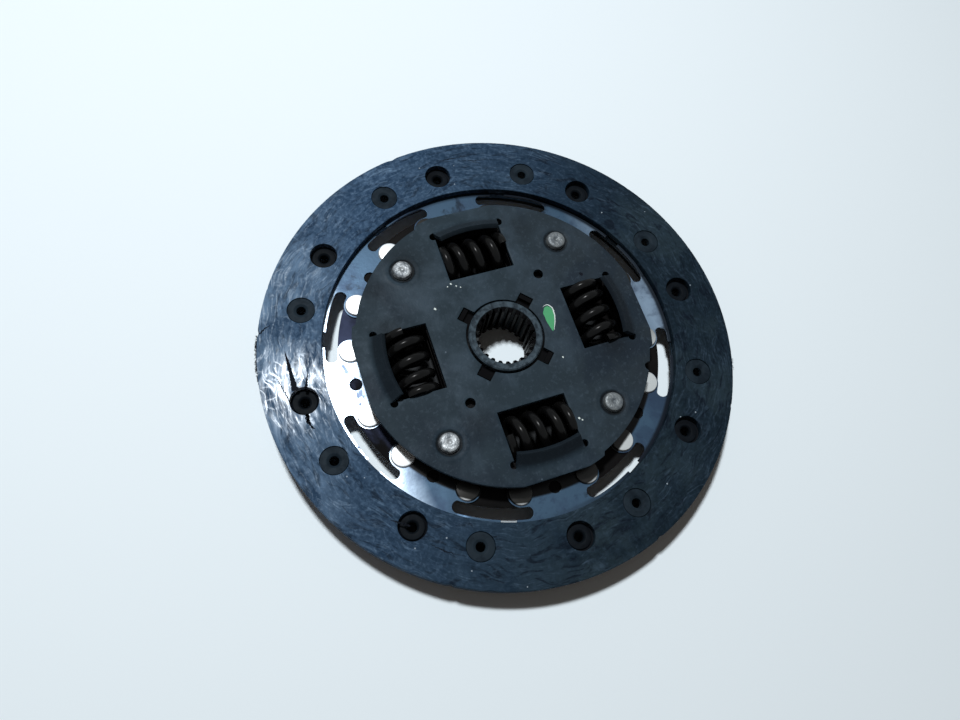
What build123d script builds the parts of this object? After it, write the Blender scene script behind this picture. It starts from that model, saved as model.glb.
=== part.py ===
from build123d import *
from math import asin, cos, degrees, pi, radians, sin, sqrt
import os

# Clutch disc with a torsion damper. Sizes in millimetres, angles in degrees.
# The axis is Z, and Z = 0 is the end of the hub that the disc stands on.
# The four damper springs lie across +X, +Y, -X and -Y.

# Hub
spline_count = 24
spline_minor_radius = 11.0
spline_depth = 1.5
space_mouth = 1.9  # width of the space between two teeth, at their tips and at their roots
space_root = 1.1
bore_chamfer = 1.6
hub_wall = 2.9
hub_foot_length = 8.2  # below the disc plate
hub_nose_length = 1.1  # above the retaining plate
hub_edge_break = 0.5
flange_thickness = 4.0
flange_rim = 6.2  # outside the spring windows
flange_corner = 1.5

# Damper springs, closed and ground flat at both ends
spring_count = 4
spring_circle = 40.4
spring_radius = 9.0
spring_length = 28.6
wire_radius = 2.1
spring_turns = 4.1
closed_turns = 0.6
closed_gap = 0.12  # between closed turns
steps_per_turn = 10

# Plates
plate_thickness = 2.0
retaining_overhang = 5.8  # past the hub's flange
retaining_flat_depth = 1.5  # flats outside the windows
retaining_cutback = 1.3  # of the rim beside the two pins that sit back
cutback_half_angle = 24.5
rim_notch_radius = 1.9
rim_notch_angle = 61.4
tooling_hole_radius = 2.15
tooling_circle = 32.75

# Windows in the plates, each with a lip folded outwards over its spring
window_inner_gap = 1.5
window_side_gap = 0.1
flange_window_gap = 0.9  # outside the spring
lip_gap = 3.4  # between the coils and the lip
lip_rise = 4.2
lip_half_angle = 15.2
lip_overlap = 2.4  # of the lip's root over the plate
relief_radius = 1.6
relief_angle = 16.1

# Stop pins
pin_inset = 5.45  # from the flange's rim
pin_body_radius = 4.5
pin_neck_radius = 3.25
pin_head_radius = 4.25
pin_head_height = 2.1
pin_setback = 5.65  # two of the pins sit back, so the hub turns further one way
hub_travel = 10.0  # either way past a pin that is not set back

# Friction set around the hub
bush_thickness = 2.0
bush_width = 9.5
tab_circle = 19.55
tab_depth = 1.9
tab_width = 5.4
tab_sunk = 0.2
spring_washer_thickness = 0.9
spring_washer_gap = 1.6  # to the hub

# Cushion segments, stamped from spring steel
segment_count = 8
segment_thickness = 0.8
segment_wave = 0.6  # how far a segment holds the facings apart
foot_width = 10.8
foot_rivet_angle = 13.0  # from a foot's middle to each of its rivets
foot_gap = 1.3  # between the flange's rim and a foot
foot_hole_radius = 2.6
foot_reach = 0.3  # past the disc plate's rim
slot_width = 5.0
slot_tip_angle = 9.5  # from a foot's middle to the rounded end of a slot
rim_width = 1.2  # bare strip of a blade between slot and facing
blade_start_angle = -15.0  # ends of a blade, from its foot's middle
blade_end_angle = 25.0
blade_inset = 3.0
bend_start = 1.6  # sideways from the line between a blade's two rivets
bend_run = 5.0

# Friction facings
facing_width = 25.5
facing_thickness = 2.8
facing_web = 1.4  # under a rivet head
facing_rivet_inset = 9.8  # from the inner edge
rivet_recess = 0.3
trough_rivet_angle = 1.37  # holds the lower facing to a blade, from its foot's middle
crest_rivet_angle = 19.63  # holds the upper one

# Rivets: tubular in the facings, solid in the feet
facing_shank_radius = 2.4
facing_bore_radius = 1.8
facing_head_radius = 5.5
facing_tail_radius = 4.9
facing_tail_height = 0.8
foot_shank_radius = 3.0
foot_head_radius = 4.9
foot_head_height = 1.3
foot_tail_radius = 4.2
foot_tail_height = 1.0
rivet_slope = 14

# Small round holes and fasteners and the springs' wire are prisms, which keeps the part light
small_sides = 12
shank_sides = 8
wire_sides = 6

# Clearances
rivet_clearance = 0.05
head_clearance = 0.2
running_clearance = 0.05
face_clearance = 0.05
part_clearance = 1.0  # hub to plates
stop_clearance = 0.4
notch_clearance = 1.2
tab_clearance = 0.4

# Radii, from the axis outwards
spline_major_radius = spline_minor_radius + spline_depth
hub_radius = spline_major_radius + hub_wall
plate_hole_radius = hub_radius + part_clearance
bush_bore_radius = hub_radius + running_clearance
window_inner = spring_circle - spring_radius - window_inner_gap
flange_window_outer = spring_circle + spring_radius + flange_window_gap
flange_radius = flange_window_outer + flange_rim
pin_circle = flange_radius - pin_inset
retaining_radius = flange_radius + retaining_overhang
foot_circle = flange_radius + foot_gap + foot_width / 2
disc_plate_radius = foot_circle + foot_width / 2 - foot_reach
slot_circle = disc_plate_radius + slot_width / 2
blade_inner_radius = slot_circle + slot_width / 2
facing_inner_radius = blade_inner_radius + rim_width
facing_outer_radius = facing_inner_radius + facing_width
facing_rivet_circle = facing_inner_radius + facing_rivet_inset
blade_outer_radius = facing_outer_radius - blade_inset
seat_radius = facing_head_radius + head_clearance
shank_hole = facing_shank_radius + rivet_clearance
foot_shank_hole = foot_shank_radius + rivet_clearance
pin_hole = pin_neck_radius + rivet_clearance

# Levels, from the hub's foot upwards
disc_plate_bottom = hub_foot_length
disc_plate_top = disc_plate_bottom + plate_thickness
foot_top = disc_plate_top + segment_thickness
crest_bottom = disc_plate_top + segment_wave
crest_top = crest_bottom + segment_thickness
friction_gap = bush_thickness + 2 * face_clearance
flange_bottom = disc_plate_top + friction_gap
flange_middle = flange_bottom + flange_thickness / 2
flange_top = flange_bottom + flange_thickness
retaining_bottom = flange_top + friction_gap
retaining_top = retaining_bottom + plate_thickness
hub_top = retaining_top + hub_nose_length
lower_facing_bottom = disc_plate_top - facing_thickness
upper_facing_top = crest_top + facing_thickness

window_length = spring_length + 2 * window_side_gap
spring_pitch = 360 / spring_count
segment_pitch = 360 / segment_count
pin_angles = [
    spring_pitch * (k + 0.5) - (pin_setback if k % 2 == 0 else 0) for k in range(spring_count)
]
tooling_angle = spring_pitch * 1.5


def level(height, angle=0.0):
    # level plane, turned about the axis
    return Plane.XY.offset(height).rotated((0, 0, angle))


def upright(angle):
    # plane through the axis: its X runs outwards at this angle and its Y runs up
    outwards = (cos(radians(angle)), sin(radians(angle)), 0)
    return Plane(origin=(0, 0, 0), x_dir=outwards, z_dir=(outwards[1], -outwards[0], 0))


def along(angle, height=0.0):
    # upright plane through the axis that faces outwards at this angle
    outwards = (cos(radians(angle)), sin(radians(angle)), 0)
    return Plane(origin=(0, 0, height), x_dir=(-outwards[1], outwards[0], 0), z_dir=outwards)


def sector(inner, outer, start, stop, mode=Mode.ADD):
    # part of a flat ring between two angles
    with BuildLine() as border:
        outside = CenterArc((0, 0), outer, start, stop - start)
        inside = CenterArc((0, 0), inner, start, stop - start)
        Line(inside @ 0, outside @ 0)
        Line(inside @ 1, outside @ 1)
    return make_face(border.edges(), mode=mode)


def prisms(radius, bottom, top, spots, sides=small_sides, mode=Mode.ADD, slope=0):
    # one upright prism at each spot, whose sides lean in by the slope
    with BuildSketch(level(bottom)) as section:
        with Locations(*spots):
            RegularPolygon(radius, sides, rotation=180 / sides)
    extrude(section.sketch, amount=top - bottom, mode=mode, taper=slope)


def spots_at(radius, angles):
    return [(radius * cos(radians(a)), radius * sin(radians(a))) for a in angles]


def save(piece, name):
    piece.part.label = name
    export_step(piece.part, f"parts/{name}.step")


os.makedirs("parts", exist_ok=True)
feet = [segment_pitch * k for k in range(segment_count)]
windows = [spring_pitch * k for k in range(spring_count)]
trough_spots = spots_at(facing_rivet_circle, [a + trough_rivet_angle for a in feet])
crest_spots = spots_at(facing_rivet_circle, [a + crest_rivet_angle for a in feet])
foot_spots = spots_at(foot_circle, [a + s for a in feet for s in (-foot_rivet_angle, foot_rivet_angle)])
pin_spots = spots_at(pin_circle, pin_angles)

# Facings: each has counterbores for its own rivets and clearance holes for the other's
for name, bottom, seat, own_spots, other_spots in (
    ("upper_facing", crest_top, crest_top + facing_web, crest_spots, trough_spots),
    ("lower_facing", lower_facing_bottom, lower_facing_bottom, trough_spots, crest_spots),
):
    with BuildPart() as facing:
        with BuildSketch(level(bottom)):
            Circle(facing_outer_radius)
            Circle(facing_inner_radius, mode=Mode.SUBTRACT)
        extrude(amount=facing_thickness)
        prisms(shank_hole, bottom, bottom + facing_thickness, own_spots, shank_sides, Mode.SUBTRACT)
        prisms(seat_radius, seat, seat + facing_thickness - facing_web, own_spots, mode=Mode.SUBTRACT)
        prisms(seat_radius, bottom, bottom + facing_thickness, other_spots, mode=Mode.SUBTRACT)
    save(facing, name)

# Tubular rivets: flat head in the facing, shank through the web and the blade, rolled tail
for name, spots, outer_face, inner_face in (
    ("upper_facing_rivets", crest_spots, upper_facing_top, crest_bottom),
    ("lower_facing_rivets", trough_spots, lower_facing_bottom, foot_top),
):
    up = 1 if outer_face > inner_face else -1
    head = outer_face - up * rivet_recess
    tail = inner_face - up * facing_tail_height
    with BuildPart() as rivets:
        prisms(facing_head_radius, head, outer_face - up * (facing_thickness - facing_web), spots)
        prisms(facing_shank_radius, head, inner_face, spots, shank_sides)
        prisms(facing_tail_radius, inner_face, tail, spots)
        prisms(facing_bore_radius, head, tail, spots, shank_sides, Mode.SUBTRACT)
    save(rivets, name)

# Cushion segments: a flat two-lobed foot, a neck, and a blade bent up to a crest
slot_end = slot_tip_angle + degrees(asin(slot_width / 2 / slot_circle))
foot_path = CenterArc((0, 0), foot_circle, -foot_rivet_angle, 2 * foot_rivet_angle)
half_width = blade_outer_radius / 2
blade_line = (
    (-half_width, 0),
    (bend_start, 0),
    (bend_start + bend_run, segment_wave),
    (half_width, segment_wave),
)
for number, foot_angle in enumerate(feet, start=1):
    bend_angle = foot_angle + (trough_rivet_angle + crest_rivet_angle) / 2
    with BuildPart() as segment:
        with BuildSketch(along(bend_angle, disc_plate_top)):
            Polygon(*blade_line, *[(x, y + segment_thickness) for x, y in reversed(blade_line)], align=None)
        extrude(amount=facing_outer_radius)
        with BuildSketch(level(0, foot_angle)):
            sector(blade_inner_radius, blade_outer_radius, blade_start_angle, blade_end_angle)
        extrude(amount=hub_top, mode=Mode.INTERSECT)
        with BuildSketch(level(disc_plate_top, foot_angle)):
            sector(foot_circle, blade_inner_radius, -slot_end, slot_end)
            for side in (-1, 1):
                with Locations(*spots_at(slot_circle, [side * slot_end])):
                    Circle(slot_width / 2, mode=Mode.SUBTRACT)
            SlotArc(foot_path, foot_width)
        extrude(amount=segment_thickness)
        facing_holes = (trough_spots[number - 1], crest_spots[number - 1])
        foot_holes = foot_spots[2 * number - 2 : 2 * number]
        foot_middle = spots_at(foot_circle, [foot_angle])
        prisms(shank_hole, 0, hub_top, facing_holes, shank_sides, Mode.SUBTRACT)
        prisms(foot_shank_hole, 0, hub_top, foot_holes, shank_sides, Mode.SUBTRACT)
        prisms(foot_hole_radius, 0, hub_top, foot_middle, mode=Mode.SUBTRACT)
    save(segment, f"cushion_segment_{number}")

# Solid rivets that hold the feet to the disc plate
with BuildPart() as segment_rivets:
    prisms(foot_head_radius, foot_top, foot_top + foot_head_height, foot_spots, slope=rivet_slope)
    prisms(foot_shank_radius, foot_top, disc_plate_bottom, foot_spots, shank_sides)
    prisms(
        foot_tail_radius, disc_plate_bottom, disc_plate_bottom - foot_tail_height, foot_spots
    )
save(segment_rivets, "segment_rivets")


# Spring windows of a plate and their lips; outward is 1 for a lip that rises, -1 for one that drops
def cut_windows(inner_face, outer_face, outward):
    slant = sqrt(2) * (spring_radius + lip_gap)
    root = spring_circle - abs(inner_face - flange_middle) + slant  # where the lip leaves the plate
    edge = root + sqrt(2) * plate_thickness - plate_thickness
    with BuildSketch(level(min(inner_face, outer_face))) as openings:
        for angle in windows:
            with Locations(Rot(0, 0, angle)):
                with BuildSketch(mode=Mode.PRIVATE) as window:
                    with Locations((window_inner, 0)):
                        Rectangle(root, window_length, align=(Align.MIN, Align.CENTER))
                    Circle(root, mode=Mode.INTERSECT)
                add(window.sketch)
            with Locations(*spots_at(root, (angle - relief_angle, angle + relief_angle))):
                RegularPolygon(relief_radius, small_sides)
    extrude(openings.sketch, amount=plate_thickness, mode=Mode.SUBTRACT)
    fold = plate_thickness / sqrt(2)
    for angle in windows:
        with BuildSketch(upright(angle - lip_half_angle)) as lip:
            with BuildLine():
                Polyline(
                    (edge + lip_overlap, inner_face),
                    (root, inner_face),
                    (edge - lip_rise - fold, outer_face + outward * (lip_rise - fold)),
                    (edge - lip_rise, outer_face + outward * lip_rise),
                    (edge, outer_face),
                    (edge + lip_overlap, outer_face),
                    close=True,
                )
            make_face()
        revolve(lip.sketch, axis=Axis.Z, revolution_arc=2 * lip_half_angle)


with BuildPart() as disc_plate:
    with BuildSketch(level(disc_plate_bottom)):
        Circle(disc_plate_radius)
        Circle(plate_hole_radius, mode=Mode.SUBTRACT)
    extrude(amount=plate_thickness)
    prisms(foot_shank_hole, disc_plate_bottom, disc_plate_top, foot_spots, shank_sides, Mode.SUBTRACT)
    prisms(pin_hole, disc_plate_bottom, disc_plate_top, pin_spots, mode=Mode.SUBTRACT)
    cut_windows(disc_plate_top, disc_plate_bottom, -1)
save(disc_plate, "disc_plate")

with BuildPart() as retaining_plate:
    with BuildSketch(level(retaining_bottom)) as outline:
        Circle(retaining_radius)
        flats = 2 * (retaining_radius - retaining_flat_depth)
        Rectangle(flats, flats, mode=Mode.INTERSECT)
        cutback_radius = retaining_radius - retaining_cutback
        for angle in (spring_pitch / 2, spring_pitch / 2 + 180):
            sector(
                cutback_radius,
                foot_circle,
                angle - cutback_half_angle,
                angle + cutback_half_angle,
                mode=Mode.SUBTRACT,
            )
        with Locations(*spots_at(cutback_radius, [rim_notch_angle])):
            Circle(rim_notch_radius, mode=Mode.SUBTRACT)
        Circle(plate_hole_radius, mode=Mode.SUBTRACT)
        for angle in windows:
            with Locations(Rot(0, 0, angle + spring_pitch / 2)):
                with Locations((tab_circle + tab_depth / 2 + tab_clearance, 0)):
                    Rectangle(
                        tab_circle,
                        tab_width + 2 * tab_clearance,
                        align=(Align.MAX, Align.CENTER),
                        mode=Mode.SUBTRACT,
                    )
        with Locations(*spots_at(tooling_circle, (tooling_angle, tooling_angle + 180))):
            Circle(tooling_hole_radius, mode=Mode.SUBTRACT)
    extrude(amount=plate_thickness)
    prisms(pin_hole, retaining_bottom, retaining_top, pin_spots, mode=Mode.SUBTRACT)
    cut_windows(retaining_bottom, retaining_top, 1)
save(retaining_plate, "retaining_plate")

# Stop pins: they tie the plates together and stop the flange's notches
with BuildPart() as stop_pins:
    prisms(pin_body_radius, disc_plate_top, retaining_bottom, pin_spots)
    prisms(pin_neck_radius, disc_plate_bottom, retaining_top, pin_spots)
    prisms(pin_head_radius, retaining_top, retaining_top + pin_head_height, pin_spots, slope=rivet_slope)
    prisms(
        pin_head_radius,
        disc_plate_bottom,
        disc_plate_bottom - pin_head_height,
        pin_spots,
        slope=rivet_slope,
    )
save(stop_pins, "stop_pins")

# Hub: splined barrel and a flange with the spring windows and the notches round the pins
notch_half_angle = hub_travel + degrees(asin((pin_body_radius + stop_clearance) / pin_circle))
notch_bottom = pin_circle - pin_body_radius - notch_clearance
with BuildPart() as hub:
    with BuildSketch(Plane.XY):
        Circle(hub_radius)
    extrude(amount=hub_top)
    chamfer(hub.edges().sort_by(Axis.Z)[-1], hub_edge_break)
    with BuildSketch(level(flange_bottom)) as flange:
        Circle(flange_radius)
        for angle in windows:
            with Locations(Rot(0, 0, angle)):
                with Locations((window_inner, 0)):
                    RectangleRounded(
                        flange_window_outer - window_inner,
                        window_length,
                        flange_corner,
                        align=(Align.MIN, Align.CENTER),
                        mode=Mode.SUBTRACT,
                    )
            middle = angle + spring_pitch / 2
            sector(
                notch_bottom,
                retaining_radius,
                middle - notch_half_angle,
                middle + notch_half_angle,
                mode=Mode.SUBTRACT,
            )
    extrude(amount=flange_thickness)
    with BuildSketch(Plane.XY):
        Circle(spline_minor_radius)
        with PolarLocations(0, spline_count, start_angle=180 / spline_count):
            Polygon(
                (spline_minor_radius - spline_depth, -space_mouth / 2),
                (spline_minor_radius, -space_mouth / 2),
                (spline_major_radius, -space_root / 2),
                (spline_major_radius, space_root / 2),
                (spline_minor_radius, space_mouth / 2),
                (spline_minor_radius - spline_depth, space_mouth / 2),
                align=None,
            )
    extrude(amount=hub_top, mode=Mode.SUBTRACT)
    for end, inwards in ((0, bore_chamfer), (hub_top, -bore_chamfer)):
        with BuildSketch(Plane.XY.offset(end)):
            RegularPolygon(
                spline_minor_radius + bore_chamfer,
                spline_count,
                major_radius=False,
                rotation=180 / spline_count,
            )
        extrude(amount=inwards, taper=45, mode=Mode.SUBTRACT)
save(hub, "hub")

# Damper springs: closed end turns, open turns between them, both ends ground flat
closed_pitch = 2 * wire_radius + closed_gap
end_height = wire_radius / 2
open_turns = spring_turns - 2 * closed_turns
open_pitch = (spring_length - 2 * end_height - 2 * closed_turns * closed_pitch) / open_turns


def coil_height(turn):
    closed = min(turn, closed_turns) + max(turn - spring_turns + closed_turns, 0)
    opened = min(max(turn - closed_turns, 0), open_turns)
    return end_height + closed * closed_pitch + opened * open_pitch


coil_radius = spring_radius - wire_radius
step_count = round(spring_turns * steps_per_turn)
coil = []
for step in range(step_count + 1):
    turn = spring_turns * step / step_count
    coil.append(
        (
            coil_radius * cos(2 * pi * turn),
            coil_radius * sin(2 * pi * turn),
            coil_height(turn) - spring_length / 2,
        )
    )
for number, angle in enumerate(windows, start=1):
    across = (-sin(radians(angle)), cos(radians(angle)), 0)
    centre = (spring_circle * cos(radians(angle)), spring_circle * sin(radians(angle)), flange_middle)
    spring_plane = Plane(origin=centre, x_dir=(0, 0, 1), z_dir=across)
    with BuildPart(spring_plane) as spring:
        with BuildLine(spring_plane) as wire:
            Polyline(*coil)
        with BuildSketch(Plane(origin=wire.line @ 0, z_dir=wire.line % 0)):
            RegularPolygon(wire_radius, wire_sides, major_radius=False)
        sweep(path=wire.line, transition=Transition.RIGHT)
        Cylinder(spring_length, spring_length, mode=Mode.INTERSECT)
    save(spring, f"damper_spring_{number}")

# Friction bush between flange and retaining plate, keyed into the plate by four tabs
with BuildPart() as bush:
    with BuildSketch(level(flange_top + face_clearance)):
        Circle(bush_bore_radius + bush_width)
        Circle(bush_bore_radius, mode=Mode.SUBTRACT)
    extrude(amount=bush_thickness)
    tab_top = retaining_top - tab_sunk
    with BuildSketch(level(tab_top)):
        for angle in windows:
            with Locations(Rot(0, 0, angle + spring_pitch / 2)):
                with Locations((tab_circle, 0)):
                    Rectangle(tab_depth, tab_width)
    extrude(amount=-(tab_top - flange_top - bush_thickness))
save(bush, "friction_bush")

# Friction washer under the flange, and the spring washer that presses it there
with BuildPart() as spring_washer:
    with BuildSketch(level(disc_plate_top + face_clearance)):
        Circle(bush_bore_radius + bush_width)
        Circle(bush_bore_radius + spring_washer_gap, mode=Mode.SUBTRACT)
    extrude(amount=spring_washer_thickness)
save(spring_washer, "spring_washer")

with BuildPart() as friction_washer:
    with BuildSketch(level(flange_bottom - face_clearance)):
        Circle(bush_bore_radius + bush_width)
        Circle(bush_bore_radius, mode=Mode.SUBTRACT)
    extrude(amount=-(bush_thickness - spring_washer_thickness))
save(friction_washer, "friction_washer")
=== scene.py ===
import math

import bmesh
import bpy
import numpy as np
from mathutils import Matrix, Vector
from mathutils.geometry import delaunay_2d_cdt


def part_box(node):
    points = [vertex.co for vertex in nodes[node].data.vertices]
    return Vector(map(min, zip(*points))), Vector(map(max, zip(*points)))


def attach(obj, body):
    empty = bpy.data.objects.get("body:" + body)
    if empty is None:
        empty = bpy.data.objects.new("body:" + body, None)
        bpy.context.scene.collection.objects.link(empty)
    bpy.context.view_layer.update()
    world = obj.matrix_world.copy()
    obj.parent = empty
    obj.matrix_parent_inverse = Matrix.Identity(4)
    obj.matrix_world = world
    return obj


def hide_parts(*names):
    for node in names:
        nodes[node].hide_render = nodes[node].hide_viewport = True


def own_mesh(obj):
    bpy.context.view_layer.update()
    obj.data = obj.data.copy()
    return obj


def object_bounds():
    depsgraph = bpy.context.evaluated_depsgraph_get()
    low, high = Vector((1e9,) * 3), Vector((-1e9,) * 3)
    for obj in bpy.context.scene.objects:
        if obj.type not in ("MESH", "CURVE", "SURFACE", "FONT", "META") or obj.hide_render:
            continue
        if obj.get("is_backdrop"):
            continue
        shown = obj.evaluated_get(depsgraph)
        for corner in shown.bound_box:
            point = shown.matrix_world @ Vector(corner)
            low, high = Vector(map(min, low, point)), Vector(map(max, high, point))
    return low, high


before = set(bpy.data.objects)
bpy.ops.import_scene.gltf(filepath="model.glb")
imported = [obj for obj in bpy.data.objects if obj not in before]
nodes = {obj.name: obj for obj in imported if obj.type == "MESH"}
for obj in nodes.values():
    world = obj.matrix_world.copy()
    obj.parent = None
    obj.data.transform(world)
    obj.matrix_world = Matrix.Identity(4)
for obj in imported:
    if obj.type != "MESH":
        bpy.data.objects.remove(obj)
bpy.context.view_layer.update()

# Clutch disc with its friction facings, cushion segments and torsion damper.
# Shapes are worked out in millimetres round the Z axis and put down in metres.

mm = 0.001
turn = 2 * np.pi
dice = np.random.default_rng(11)
windowAngles = np.radians([0, 90, 180, 270])
footAngles = np.radians(45 * np.arange(8))
troughAngles = footAngles + np.radians(1.37)  # rivets that hold the lower facing
crestAngles = footAngles + np.radians(19.63)  # rivets that hold the upper facing
pinAngles = np.radians([39.35, 135, 219.35, 315])
pinCircle = 51.05
rivetCircle = 84.3
plateThickness = 2.0
print("frame loaded:", len(nodes), "nodes")


def heightOf(node):
    # bottom and top of a CAD node in millimetres
    low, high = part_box(node)
    return low.z / mm, high.z / mm


def spotsAt(radius, angles):
    return np.stack([radius * np.cos(angles), radius * np.sin(angles)], -1)


def raised(flat, height):
    return np.concatenate([flat, np.full(flat.shape[:-1] + (1,), height)], -1)


def linked(name, data):
    thing = bpy.data.objects.new(name, data)
    bpy.context.scene.collection.objects.link(thing)
    return thing


def gridQuads(rows, columns, closeRows=False, closeColumns=False):
    # each quad takes two neighbours in a row and the two beside them in the next row
    row = np.arange(rows if closeRows else rows - 1)[:, None]
    column = np.arange(columns if closeColumns else columns - 1)[None, :]
    beside, below = (column + 1) % columns, (row + 1) % rows
    corners = [
        row * columns + column, row * columns + beside, below * columns + beside, below * columns + column
    ]
    return np.stack([corner + 0 * row + 0 * column for corner in corners], -1).reshape(-1, 4)


def joined(parts):
    # several (points, faces) put into one
    starts = np.cumsum([0] + [len(points) for points, faces in parts[:-1]])
    return (
        np.concatenate([points for points, faces in parts]),
        np.concatenate([faces + start for start, (points, faces) in zip(starts, parts)]),
    )


def placed(name, mesh, material, body, standsFor, sharpAngle):
    mesh.shade_smooth()
    mesh.set_sharp_from_angle(angle=math.radians(sharpAngle))
    mesh.materials.clear()
    mesh.materials.append(material)
    piece = linked(name, mesh)
    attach(piece, body)
    if standsFor:
        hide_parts(*standsFor)
    return piece


def newPiece(name, points, faces, material, body, standsFor=(), sharpAngle=35):
    # a mesh from whole arrays; points that coincide are merged, which closes seams and poles
    mesh = bpy.data.meshes.new(name)
    mesh.vertices.add(len(points))
    mesh.vertices.foreach_set("co", (np.asarray(points) * mm).astype(np.float32).ravel())
    mesh.loops.add(faces.size)
    mesh.loops.foreach_set("vertex_index", faces.astype(np.int32).ravel())
    mesh.polygons.add(len(faces))
    mesh.polygons.foreach_set("loop_start", np.arange(0, faces.size, faces.shape[1], dtype=np.int32))
    mesh.update(calc_edges=True)
    work = bmesh.new()
    work.from_mesh(mesh)
    bmesh.ops.remove_doubles(work, verts=work.verts, dist=2e-7)
    work.to_mesh(mesh)
    work.free()
    return placed(name, mesh, material, body, standsFor, sharpAngle)


def rounding(piece, width, angle):
    edge = piece.modifiers.new("edge", "BEVEL")
    edge.width, edge.segments = width * mm, 2
    edge.limit_method, edge.angle_limit = "ANGLE", math.radians(angle)
    return edge


def turned(profile, spots, steps=48, closed=False):
    # a profile of (radius, height) pairs swept round an upright axis at each spot
    profile = np.asarray(profile, float)
    angles = np.arange(steps) / steps * turn
    ring = np.stack([np.cos(angles), np.sin(angles)], -1)
    shape = profile[:, None, :1] * ring[None]
    heights = np.broadcast_to(profile[:, None, 1:], shape.shape[:2] + (1,))
    one = np.concatenate([shape, heights], -1).reshape(-1, 3)
    quads = gridQuads(len(profile), steps, closeRows=closed, closeColumns=True)
    return joined([(one + [x, y, 0], quads) for x, y in spots])


def rounded(corners, closed=False, steps=4):
    # a profile whose corners (radius, height, rounding) become arcs, from the tangent point on
    # one side to the tangent point on the other
    corners = np.asarray(corners, float)
    count = len(corners)
    line = []
    for k, (x, y, size) in enumerate(corners):
        here = np.array([x, y])
        if size == 0 or (not closed and k in (0, count - 1)):
            line.append(here)
            continue
        before = corners[k - 1][:2] - here
        after = corners[(k + 1) % count][:2] - here
        before, after = before / np.hypot(*before), after / np.hypot(*after)
        t = np.linspace(0, 1, steps + 1)[:, None]
        start, stop = here + before * size, here + after * size
        line.extend((1 - t) ** 2 * start + 2 * t * (1 - t) * here + t**2 * stop)
    return np.array(line)


def hum(angles, lowest, highest, count, seed):
    # a sum of cosines whose whole-number frequencies and phases are drawn by lot, about 1 high
    lot = np.random.default_rng(seed)
    waves = lot.integers(lowest, highest, count)
    phases = lot.uniform(0, turn, count)
    return np.cos(np.multiply.outer(angles, waves) + phases).sum(-1) / math.sqrt(count)


def insideOf(points, loops):
    # a point is inside where a line from it to the right crosses the outlines an odd number of times
    inside = np.zeros(len(points), bool)
    px, py = points[:, :1], points[:, 1:]
    for loop in loops:
        (x0, y0), (x1, y1) = loop.T, np.roll(loop, -1, axis=0).T
        slope = (x1 - x0) / np.where(y1 == y0, 1e-9, y1 - y0)
        crossed = ((y0 > py) != (y1 > py)) & (px < slope * (py - y0) + x0)
        inside ^= crossed.sum(1) % 2 == 1
    return inside


def nearest(points, others):
    # how far each point is from the nearest of the others, a chunk at a time
    found = []
    for chunk in np.array_split(points, 16):
        found.append(np.hypot(*(chunk[:, None] - others[None]).transpose(2, 0, 1)).min(1))
    return np.concatenate(found)


def trimmedSheet(loops, spacing, extraPoints, liftAt):
    # z is the lift at (x, y), for x and y on a staggered lattice that the outlines trim
    reach = max(np.abs(loop).max() for loop in loops)
    rows = np.arange(-reach, reach, spacing * 0.866)
    columns = np.arange(-reach, reach, spacing)
    x, y = np.meshgrid(columns, rows)
    x = x + spacing / 2 * (np.arange(len(rows)) % 2)[:, None]
    lattice = np.stack([x.ravel(), y.ravel()], -1)
    lattice = np.concatenate([lattice[nearest(lattice, extraPoints) > spacing * 0.6], extraPoints])
    lattice = lattice[insideOf(lattice, loops)]
    border = np.concatenate(loops)
    points = np.concatenate([border, lattice[nearest(lattice, border) > 0.3]])
    edges, start = [], 0
    for loop in loops:
        index = np.arange(len(loop)) + start
        edges.extend(zip(index.tolist(), np.roll(index, -1).tolist()))
        start += len(loop)
    flat, _, faces, _, _, _ = delaunay_2d_cdt([Vector(p) for p in points], edges, [], 2, 1e-6, False)
    flat = np.array([tuple(p) for p in flat])
    faces = np.array([tuple(f) for f in faces])
    a, b, c = (flat[faces[:, k]] for k in range(3))
    area = (b[:, 0] - a[:, 0]) * (c[:, 1] - a[:, 1]) - (b[:, 1] - a[:, 1]) * (c[:, 0] - a[:, 0])
    faces[area < 0] = faces[area < 0][:, ::-1]
    faces = faces[insideOf((a + b + c) / 3, loops) & (np.abs(area) > 1e-7)]
    return np.concatenate([flat, liftAt(flat[:, 0], flat[:, 1])[:, None]], -1), faces


def swept(path, radii, sides, side):
    # a round section carried along a path and drawn together at both ends: side * cos + over * sin,
    # where side is a direction across the path at each of its points
    along = np.gradient(path, axis=0)
    along /= np.linalg.norm(along, axis=1, keepdims=True)
    over = np.cross(along, side)
    angles = (np.arange(sides) / sides * turn)[None, :, None]
    points = path[:, None] + (
        side[:, None] * np.cos(angles) + over[:, None] * np.sin(angles)
    ) * radii[:, None, None]
    ends = [path[[k], None] + 0 * points[:1] for k in (0, -1)]
    return np.concatenate([ends[0], points, ends[1]]), gridQuads(len(path) + 2, sides, closeColumns=True)


def newGroup(name, output, **floats):
    # a shared effect with a place, its number inputs and one output
    group = bpy.data.node_groups.new(name, "ShaderNodeTree")
    group.interface.new_socket("Place", in_out="INPUT", socket_type="NodeSocketVector")
    for label, value in floats.items():
        socket = group.interface.new_socket(label, in_out="INPUT", socket_type="NodeSocketFloat")
        socket.default_value = value
    group.interface.new_socket(output, in_out="OUTPUT", socket_type="NodeSocketFloat")
    return group, group.nodes.new("NodeGroupInput").outputs, group.nodes.new("NodeGroupOutput").inputs[0]


def put(tree, kind, settings=(), links=(), **fields):
    # a node with its fields, its socket values and the sockets that feed it
    node = tree.nodes.new(kind)
    for field, value in fields.items():
        setattr(node, field, value)
    for key, value in dict(settings).items():
        node.inputs[key].default_value = value
    for key, source in dict(links).items():
        tree.links.new(source, node.inputs[key])
    return node


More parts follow.
